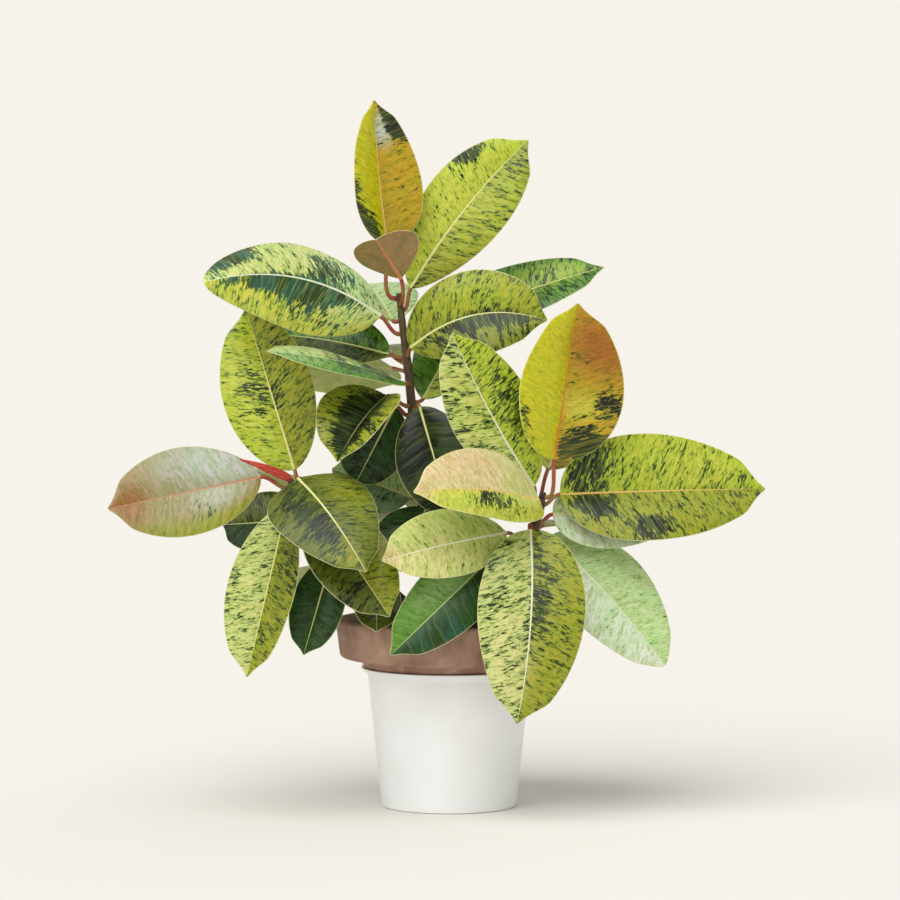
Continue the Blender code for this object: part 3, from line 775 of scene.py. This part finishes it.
def leaf_underside(name, wash, amount, rib):
    """Matte underside: the leaf's own colour, washed paler, with a raised net of veins."""
    material, tree, shader = finish(name, 0.6)
    reach, vein, offset, edge, share, darkness = leaf_coordinates(tree)
    mottle = streaks(tree, reach, vein, offset, 90, 40, 3, 60)
    clouds = streaks(tree, reach, vein, offset, 9, 6, 2, 80)
    base = node(tree, "Attribute", attribute_name="leaf_colour")["Color"]
    colour = blended(tree, amount, base, wash)
    colour = blended(tree, ramp(tree, mottle, 0.34, 0.64), times(tree, colour, 0.7, 0.7, 0.62), colour)
    green = maths(tree, "ADD", clouds, maths(tree, "MULTIPLY", darkness, 0.3))
    colour = blended(tree, ramp(tree, green, 0.52, 0.72, 0, 0.6), colour, times(tree, base, 0.5, 0.66, 0.5))
    veins = ramp(tree, vein_ridges(tree, vein, clouds), 0.0, 0.12, 1, 0)
    colour = blended(tree, maths(tree, "MULTIPLY", veins, 0.3), colour, rib)
    colour = rib_line(tree, colour, rib, reach, share, UNDERSIDE_RIB_HALF_WIDTH, 1.2, (0.7, 1.2))
    colour = blended(tree, ramp(tree, edge, 0.4, 0.95, 0.8, 0), colour, tint(226, 214, 160))
    relief = maths(tree, "ADD", veins, maths(tree, "MULTIPLY", mottle, 0.6))
    colour_and_relief(tree, shader, colour, relief, 0.35 * MM)
    return material


def stalk_skin():
    material, tree, shader = finish("stalk_skin", 0.45)
    place = node(tree, "TexCoord")["Object"]
    clouds = noise_of(tree, place, 70, 3)
    grain = noise_of(tree, place, 900, 2)
    colour = blended(tree, ramp(tree, clouds, 0.35, 0.68), tint(168, 66, 48), tint(150, 122, 62))
    colour = blended(tree, ramp(tree, grain, 0.5, 0.8, 0, 0.5), colour, tint(96, 44, 30))
    colour_and_relief(tree, shader, colour, grain, 0.2 * MM)
    return material


FOREST, BLACK_GREEN, TEAL = tint(44, 62, 24), tint(20, 28, 14), tint(44, 88, 68)
underside = leaf_underside("leaf_underside", tint(182, 194, 146), 0.45, tint(206, 188, 130))
SKINS = {
    "cream_rib": (marbled_skin("marbled_cream_rib", FOREST, BLACK_GREEN, tint(226, 224, 150)), underside),
    "teal_marble": (marbled_skin("marbled_teal", FOREST, TEAL, tint(226, 234, 200)), underside),
    "red_rib": (marbled_skin("marbled_red_rib", FOREST, BLACK_GREEN, tint(214, 118, 48)), underside),
    "peach_rib": (marbled_skin("marbled_peach_rib", FOREST, BLACK_GREEN, tint(232, 192, 112)), underside),
    "white_rib": (marbled_skin("marbled_white_rib", FOREST, BLACK_GREEN, tint(234, 236, 204)), underside),
    "pink_rib": (marbled_skin("marbled_pink_rib", tint(104, 92, 58), FOREST, tint(190, 136, 100)), underside),
    "veined": (marbled_skin("marbled_veined", FOREST, TEAL, tint(190, 212, 150), 0.3), underside),
    "young": (
        marbled_skin("marbled_young", FOREST, BLACK_GREEN, tint(210, 140, 90)),
        leaf_underside("young_underside", tint(176, 140, 92), 0.8, tint(222, 140, 92)),
    ),
}
STALK_SKIN = stalk_skin()

leaf("leaf_crown_upright", "stem_main", 509, (-62, -12, 564), (-75, 0, 706), 85, (28, 5),
     ("lemon", "gold"), (0.14, 0.24),
     (("dark", -0.75, 0.08, 0.45, 0.14, 0.9), ("dark", -0.95, 0.34, 0.2, 0.2, 0.5),
      # The silver patch beside the rib near the tip is painted sheen, a reflection painted into the colour.
      ("dark", 0.8, 0.84, 0.4, 0.13, 1.0), ("painted_sheen", 0.22, 0.8, 0.28, 0.12, 1.0)),
     skin="peach_rib", slot="leaf_yellow", fold=26, bow=-4, widest=0.36)
leaf("leaf_crown_right", "stem_main", 497, (-38, 4, 519), (79, 16, 666), 88, (-8, 12),
     ("lime", "olive"), (0.29, 0.37),
     (("yellow", -0.4, 0.5, 0.5, 0.35, 0.8), ("dark", -0.85, 0.74, 0.25, 0.08, 0.5),
      ("lime", 0.5, 0.6, 0.6, 0.3, 0.5)),
     slot="leaf_lime", fold=6, bow=4, sweep=-6, widest=0.54)
leaf("leaf_crown_young", "stem_main", 503, (-48, -26, 529), (-72, -66, 568), 74, (180, 35),
     ("bronze", "bronze"), (0.2, 0.2), skin="young", slot="leaf_bronze", fold=24, widest=0.55, drip=0)
leaf("leaf_left_upper", "stem_main", 474, (-68, -20, 492), (-241, -70, 526), 106, (-5, 30),
     ("yellow", "pale_lime"), (0.36, 0.32),
     (("dark", -0.14, 0.5, 0.2, 0.34, 0.7), ("dark", -0.45, 0.42, 0.3, 0.16, 0.25),
      ("dark", 0.8, 0.82, 0.4, 0.13, 0.6), ("dark", 0.4, 0.33, 0.4, 0.12, 0.4),
      # The mint patch near the base is painted sheen, a reflection painted into the colour.
      ("mint", 0.3, 0.15, 0.9, 0.25, 0.8)),
     skin="teal_marble", slot="leaf_lime", fold=-20, curl=-5, bow=12, sweep=18, widest=0.42, drip=0)
leaf("leaf_right_arching", "stem_main", 452, (-38, -20, 460), (97, -40, 488), 92, (-5, 20),
     ("olive", "olive"), (0.36, 0.4),
     (("dark", 0.16, 0.6, 0.22, 0.32, 0.45), ("lime", -0.5, 0.5, 0.5, 0.4, 0.5),
      ("moss", 0.7, 0.5, 0.5, 0.5, 0.4)),
     slot="leaf_olive", fold=8, curl=-4, bow=10, sweep=-17, widest=0.48)
leaf("leaf_right_deep", "stem_main", 466, (-32, 2, 474), (155, 20, 539), 74, (0, 48),
     ("green", "green"), (0.42, 0.46),
     (("deep", 0.4, 0.35, 0.6, 0.3, 0.7), ("lime", -0.3, 0.75, 0.5, 0.2, 0.6)),
     slot="leaf_deep", fold=8, bow=5)
leaf("leaf_back_pale", "stem_main", 486, (-56, 10, 486), (-84, 120, 520), 78, (0, 60),
     ("pale_lime", "mint"), (0.3, 0.3), slot="leaf_pale", fold=6, bow=4)


# The leaves along the main stem: older and greener ones that hang in the shade between the two side shoots.
# They are as leathery as the rest, and some are folded along the rib or seen edgeways.
leaf("leaf_left_edgeways", "stem_main", 424, (-44, -19, 425), (-177, -112, 460), 82, (0, 70),
     ("green", "pale_lime"), (0.34, 0.34),
     (("dark", 0.0, 0.24, 0.8, 0.12, 0.4), ("dark", -0.2, 0.5, 0.8, 0.08, 0.3),
      ("mint", 0.0, 0.9, 0.9, 0.3, 0.6)),
     skin="teal_marble", slot="leaf_lime", fold=2, curl=-10, bow=6)
leaf("leaf_left_shaded", "stem_main", 450, (-60, 8, 452), (-185, 66, 470), 80, (-10, 50),
     ("moss", "green"), (0.46, 0.42), slot="leaf_deep", fold=6, bow=6)
leaf("leaf_centre_folded", "stem_main", 402, (-62, -28, 412), (-109, -96, 351), 92, (-20, 35),
     ("olive", "olive"), (0.4, 0.4), (("dark", 0.0, 0.5, 0.45, 0.5, 0.95),),
     slot="leaf_olive", fold=38, curl=-15, bow=8)
leaf("leaf_centre_deep", "stem_main", 392, (-54, 2, 400), (-94, -4, 322), 70, (-10, 15),
     ("deep", "deep"), (0.45, 0.45), slot="leaf_deep", fold=8)
leaf("leaf_centre_dark", "stem_main", 398, (-29, -24, 401), (3, -52, 293), 78, (-5, 10),
     ("moss", "moss"), (0.6, 0.6), (("dark", 0.0, 0.5, 0.7, 0.4, 0.6),), slot="leaf_deep", fold=12, bow=6)
leaf("leaf_centre_right", "stem_main", 404, (-26, 8, 408), (26, 50, 502), 66, (0, 35),
     ("green", "lime"), (0.36, 0.36), slot="leaf_lime", fold=6)
leaf("leaf_centre_grey", "stem_main", 306, (-38, 20, 308), (-118, 46, 335), 70, (-10, 20),
     ("grey_green", "mint"), (0.3, 0.3), slot="leaf_pale", bow=4)
leaf("leaf_centre_low", "stem_main", 288, (-22, -12, 300), (-48, -58, 240), 76, (-5, 30),
     ("deep", "deep"), (0.42, 0.42), slot="leaf_deep", bow=4)


# The leaves round the right shoot: leathery as the rest, with a bright upright one that has a red rib, long
# ones to the side, and hanging ones, of which the one in front hides the clay pot's rim.
leaf("leaf_right_upright", "stem_right", 314, (104, -56, 351), (127, -50, 505), 118, (21, 8),
     ("lemon", "gold"), (0.1, 0.24),
     (("rust", 0.6, 0.75, 0.7, 0.22, 0.9), ("dark", 0.6, 0.1, 0.6, 0.14, 0.6),
      ("dark", 0.8, 0.38, 0.3, 0.12, 0.35), ("dark", -0.9, 0.2, 0.2, 0.2, 0.35),
      ("yellow", 0.3, 0.35, 0.4, 0.1, 0.5)),
     skin="red_rib", slot="leaf_yellow", fold=21, widest=0.42)
leaf("leaf_right_pale", "stem_right", 302, (84, -46, 324), (3, -64, 476), 86, (12, 10),
     ("pale_lime", "lime"), (0.38, 0.41),
     (("yellow", -0.4, 0.6, 0.6, 0.3, 0.5), ("dark", 0.6, 0.45, 0.35, 0.2, 0.2)),
     skin="white_rib", slot="leaf_pale", sweep=-4)
leaf("leaf_right_long", "stem_right", 306, (110, -36, 315), (316, 0, 318), 116, (0, 18),
     ("lime", "olive"), (0.36, 0.35),
     (("dark", -0.5, 0.14, 0.5, 0.12, 0.3), ("dark", 0.3, 0.16, 0.3, 0.1, 0.45),
      ("dark", 0.75, 0.42, 0.25, 0.1, 0.35), ("yellow", -0.5, 0.65, 0.5, 0.25, 0.5)),
     skin="peach_rib", slot="leaf_lime", fold=18, bow=3, widest=0.4)
leaf("leaf_front_cream", "stem_right", 297, (88, -64, 311), (-34, -150, 325), 94, (-15, 33),
     ("yellow", "cream"), (0.24, 0.12),
     (("pink", 0.6, 0.6, 0.5, 0.4, 0.7), ("pink", 0.0, 0.95, 0.8, 0.08, 0.8),
      ("dark", -0.35, 0.45, 0.4, 0.16, 0.4), ("olive", -0.8, 0.4, 0.4, 0.5, 0.4),
      ("pale_lime", 0.3, 0.15, 0.6, 0.2, 0.6)),
     skin="peach_rib", slot="leaf_pale", fold=12, bow=10, widest=0.42)
leaf("leaf_front_lime", "stem_right", 268, (56, -67, 279), (-65, -143, 258), 74, (-12, 20),
     ("pale_lime", "pale_lime"), (0.24, 0.22),
     (("cream", -0.3, 0.65, 0.7, 0.3, 0.5), ("pink", 0.0, 0.96, 0.9, 0.1, 0.8),
      ("green", 0.6, 0.2, 0.5, 0.2, 0.3)),
     skin="white_rib", slot="leaf_pale", bow=4)
leaf("leaf_front_green", "stem_right", 258, (58, -60, 270), (-57, -134, 165), 70, (10, 14),
     ("deep", "green"), (0.28, 0.24),
     # The mint patch on the upper half is painted sheen, a reflection painted into the colour.
     (("mint", 0.5, 0.35, 0.5, 0.4, 0.4), ("dark", -0.6, 0.75, 0.5, 0.2, 0.4)),
     skin="veined", slot="leaf_deep", bow=12)
leaf("leaf_front_hanging", "stem_right", 280, (80, -92, 284), (66, -140, 99), 106, (2, 12),
     ("olive", "pale_lime"), (0.36, 0.38),
     (("dark", -0.18, 0.35, 0.25, 0.25, 0.25), ("cream", 0.4, 0.7, 0.5, 0.3, 0.4)),
     skin="white_rib", slot="leaf_olive", bow=10, sweep=-6, widest=0.42)
leaf("leaf_right_mint", "stem_right", 252, (100, -22, 272), (214, -50, 146), 98, (18, 30),
     ("mint", "frost"), (0.22, 0.18), skin="teal_marble", slot="leaf_pale", bow=8, widest=0.46, drip=0.2)
leaf("leaf_right_cream", "stem_right", 287, (103, -35, 295), (240, -14, 298), 76, (0, 20),
     ("mint", "frost"), (0.2, 0.2), slot="leaf_pale", widest=0.4)


# The leaves round the left shoot: a tall one, a bronze one that reaches out left, and olive ones that hang.
# The bronze one has pale silver patches of painted sheen on it.
leaf("leaf_left_tall", "stem_left", 322, (-153, -42, 340), (-203, 4, 498), 98, (-15, 8),
     ("lime", "olive"), (0.34, 0.39),
     (("yellow", -0.5, 0.6, 0.5, 0.3, 0.5), ("dark", -0.3, 0.5, 0.35, 0.2, 0.2)),
     slot="leaf_lime", fold=14, widest=0.47)
leaf("leaf_left_bronze", "stem_left", 325, (-186, -62, 334), (-334, -96, 305), 94, (-5, 22),
     ("bronze", "bronze"), (0.14, 0.08),
     # Both silver patches are painted sheen, a reflection painted into the colour.
     (("painted_sheen", 0.6, 0.25, 0.6, 0.4, 0.95), ("painted_sheen", -0.3, 0.3, 0.3, 0.2, 0.6),
      ("dark", -0.45, 0.4, 0.3, 0.16, 0.2), ("olive", -0.9, 0.4, 0.3, 0.5, 0.9),
      ("rust", 0.0, 0.9, 0.9, 0.16, 0.7)),
     skin="pink_rib", slot="leaf_bronze", fold=4)
leaf("leaf_front_olive", "stem_left", 312, (-148, -80, 333), (-80, -166, 249), 104, (5, 38),
     ("moss", "moss"), (0.36, 0.36),
     (("dark", 0.35, 0.45, 0.3, 0.35, 0.35), ("olive", -0.6, 0.3, 0.4, 0.4, 0.6),
      ("olive", 0.3, 0.85, 0.6, 0.15, 0.7)),
     slot="leaf_olive", fold=-8, bow=12, widest=0.32)
leaf("leaf_front_flecked", "stem_left", 298, (-136, -76, 306), (-58, -130, 202), 80, (5, 25),
     ("olive", "moss"), (0.36, 0.4), slot="leaf_olive", bow=8)
leaf("leaf_left_hanging", "stem_left", 304, (-160, -72, 305), (-198, -100, 140), 80, (-25, 10),
     ("olive", "pale_lime"), (0.4, 0.38), (("moss", -0.6, 0.3, 0.5, 0.4, 0.5),), slot="leaf_pale", fold=20)
leaf("leaf_left_deep", "stem_left", 258, (-116, -60, 254), (-143, -84, 160), 54, (-5, 12),
     ("deep", "deep"), (0.36, 0.4), slot="leaf_deep", fold=6)
leaf("leaf_low_small", "stem_left", 226, (-70, -62, 236), (-71, -118, 186), 48, (0, 25),
     ("moss", "moss"), (0.4, 0.4), slot="leaf_olive")
leaf("leaf_left_shade", "stem_left", 286, (-146, -40, 290), (-226, -4, 282), 70, (0, 35),
     ("deep", "moss"), (0.44, 0.44), slot="leaf_deep", fold=6)


# The leaves that lean away from the front, on all three stems, in the same marbling as the ones in front.
# They fill the plant out behind, as its own do.
leaf("leaf_back_left_high", "stem_main", 436, (-56, 16, 438), (-160, 148, 412), 88, (150, 55),
     ("lime", "yellow"), (0.34, 0.3), (("dark", 0.2, 0.5, 0.25, 0.3, 0.4),), slot="leaf_lime", bow=10)
leaf("leaf_back_high", "stem_main", 444, (-57, 18, 452), (-76, 172, 440), 88, (180, 50),
     ("olive", "lime"), (0.4, 0.34), (("yellow", 0.5, 0.6, 0.4, 0.3, 0.6),), slot="leaf_olive", bow=12)
leaf("leaf_back_right", "stem_main", 370, (-18, 18, 376), (92, 146, 338), 92, (145, 38),
     ("pale_lime", "lime"), (0.34, 0.36), (("dark", 0.7, 0.6, 0.3, 0.2, 0.5),), slot="leaf_lime", bow=10)
leaf("leaf_back_middle", "stem_main", 356, (-34, 22, 360), (-96, 142, 318), 84, (-165, 40),
     ("mint", "pale_lime"), (0.3, 0.3), skin="teal_marble", slot="leaf_pale", bow=8)
leaf("leaf_back_left", "stem_main", 292, (-36, 28, 294), (-130, 146, 238), 90, (-150, 50),
     ("yellow", "gold"), (0.24, 0.3), (("dark", 0.6, 0.2, 0.5, 0.2, 0.6),), slot="leaf_yellow", bow=12)
leaf("leaf_back_low", "stem_main", 320, (-20, 30, 322), (16, 180, 252), 96, (175, 40),
     ("olive", "moss"), (0.38, 0.4), slot="leaf_olive", bow=14)
leaf("leaf_back_right_low", "stem_right", 236, (74, -10, 250), (176, 112, 200), 90, (140, 40),
     ("lime", "pale_lime"), (0.34, 0.3), slot="leaf_lime", bow=12)
leaf("leaf_back_right_tip", "stem_right", 266, (94, -12, 282), (192, 96, 256), 88, (140, 45),
     ("olive", "yellow"), (0.36, 0.28), slot="leaf_olive", bow=8)
leaf("leaf_back_left_low", "stem_left", 226, (-84, -8, 242), (-176, 112, 196), 88, (-140, 40),
     ("lime", "olive"), (0.34, 0.36), slot="leaf_lime", bow=12)
leaf("leaf_back_left_tip", "stem_left", 300, (-138, -34, 310), (-196, 78, 330), 84, (-160, 40),
     ("yellow", "lime"), (0.26, 0.32), slot="leaf_yellow", bow=6)
leaf("leaf_back_upright", "stem_right", 299, (99, -2, 338), (136, 98, 408), 74, (20, 50),
     ("yellow", "gold"), (0.2, 0.26), slot="leaf_yellow", fold=8)


# The bud sheath: the soft red cover round the next leaf, rolled to a point at the tip of the left shoot.
# It falls off when that leaf opens.
SHEATH_POINT = (-205, -88, 353)
SHEATH_RADII = (2.9, 4.2, 4.7, 4.3, 2.9, 0.8)
SHEATH_BEND = 0.12
SHEATH_STEPS = 30


def red_sheath():
    material, tree, shader = finish("red_sheath", 0.4)
    place = node(tree, "TexCoord")["Object"]
    stretched = node(tree, "Mapping", {0: place, "Scale": (0.2, 0.4, 1.0)})[0]
    lines = noise_of(tree, stretched, 900, 3)
    clouds = noise_of(tree, place, 60, 2)
    colour = blended(tree, ramp(tree, lines, 0.35, 0.65), tint(168, 44, 34), tint(222, 84, 62))
    colour = blended(tree, ramp(tree, clouds, 0.5, 0.7, 0, 0.6), colour, tint(214, 128, 96))
    colour_and_relief(tree, shader, colour, lines, 0.3 * MM)
    return material


def rolled_sheath():
    """A round, pointed roll that carries on from the stem's end and bends away to its point."""
    route = smooth_route(STEM_ROUTES["stem_left"], COARSE_STEPS)
    end, before = Vector(route[-1][:3]), Vector(route[-2][:3])
    grows = (end - before).normalized()
    foot, point = end + grows * GAP, Vector(SHEATH_POINT) * MM
    bend = foot + grows * (point - foot).length * SHEATH_BEND
    stretches = len(SHEATH_RADII) - 1
    places, radii = [], []
    for step in range(SHEATH_STEPS + 1):
        share = step / SHEATH_STEPS
        places.append(foot * (1 - share) ** 2 + bend * 2 * share * (1 - share) + point * share**2)
        index = min(int(share * stretches), stretches - 1)
        near, far = SHEATH_RADII[index:index + 2]
        radii.append((near + (far - near) * (share * stretches - index)) * MM)
    return rod(places, radii)


piece("bud_sheath_rolled", *rolled_sheath(), [red_sheath()], "red_sheath", "bud_sheath")


# The studio: a plain pale floor that runs out to the horizon, and a sky as pale as the floor.
# A broad soft key light stands high at the front left, with a weaker one at the back right.
FLOOR_RADIUS = 220
FLOOR_SIDES = 64
FLOOR_COLOUR = (0.797, 0.771, 0.724, 1)
SKY_COLOUR = (0.928, 0.893, 0.830, 1)
SKY_OVERHEAD = (0.36, 0.37, 0.38, 1)

floor_material = finish("pale_floor", 0.9, Base_Color=FLOOR_COLOUR, Specular_IOR_Level=0.0)[0]
floor_points = []
for side in range(FLOOR_SIDES):
    angle = 2 * math.pi * side / FLOOR_SIDES
    floor_points.append((FLOOR_RADIUS * math.cos(angle), FLOOR_RADIUS * math.sin(angle), -GAP))
floor_mesh = bpy.data.meshes.new("studio_floor")
floor_mesh.from_pydata(floor_points, [], [tuple(range(FLOOR_SIDES))])
floor_mesh.materials.append(floor_material)
floor = bpy.data.objects.new("studio_floor", floor_mesh)
bpy.context.scene.collection.objects.link(floor)

sky = bpy.data.worlds.new("pale_sky")
sky.use_nodes = True
sky_tree = sky.node_tree
direction = node(sky_tree, "TexCoord")["Generated"]
rise = node(sky_tree, "SeparateXYZ", {0: direction})["Z"]
sky_colour = blended(sky_tree, ramp(sky_tree, rise, 0.12, 0.35), SKY_COLOUR, SKY_OVERHEAD)
sky_tree.links.new(sky_colour, sky_tree.nodes["Background"].inputs["Color"])
bpy.context.scene.world = sky


def soft_light(name, energy, spread, azimuth, elevation, colour):
    lamp = bpy.data.lights.new(name, "SUN")
    lamp.energy = energy
    lamp.angle = math.radians(spread)
    lamp.color = colour
    made = bpy.data.objects.new(name, lamp)
    made.rotation_euler = facing(azimuth, elevation).to_track_quat("Z", "Y").to_euler()
    bpy.context.scene.collection.objects.link(made)


soft_light("key_light", 2.5, 60, -28, 58, (1.0, 0.98, 0.95))
soft_light("back_light", 0.4, 60, 140, 55, (0.97, 0.98, 1.0))

AIM = Vector((0.001, 0, 0.357))
CAMERA_DISTANCE = 4.5
CAMERA_RISE = 3.4
VIEW_WIDTH = 0.9
SENSOR = 36
camera = bpy.data.cameras.new("camera")
camera.sensor_width = SENSOR
camera.lens = SENSOR * CAMERA_DISTANCE / VIEW_WIDTH
camera_object = bpy.data.objects.new("camera", camera)
camera_object.location = AIM + facing(0, CAMERA_RISE) * CAMERA_DISTANCE
camera_object.rotation_euler = (AIM - camera_object.location).to_track_quat("-Z", "Y").to_euler()
bpy.context.scene.collection.objects.link(camera_object)
bpy.context.scene.camera = camera_object
bpy.context.scene.view_settings.view_transform = "Standard"
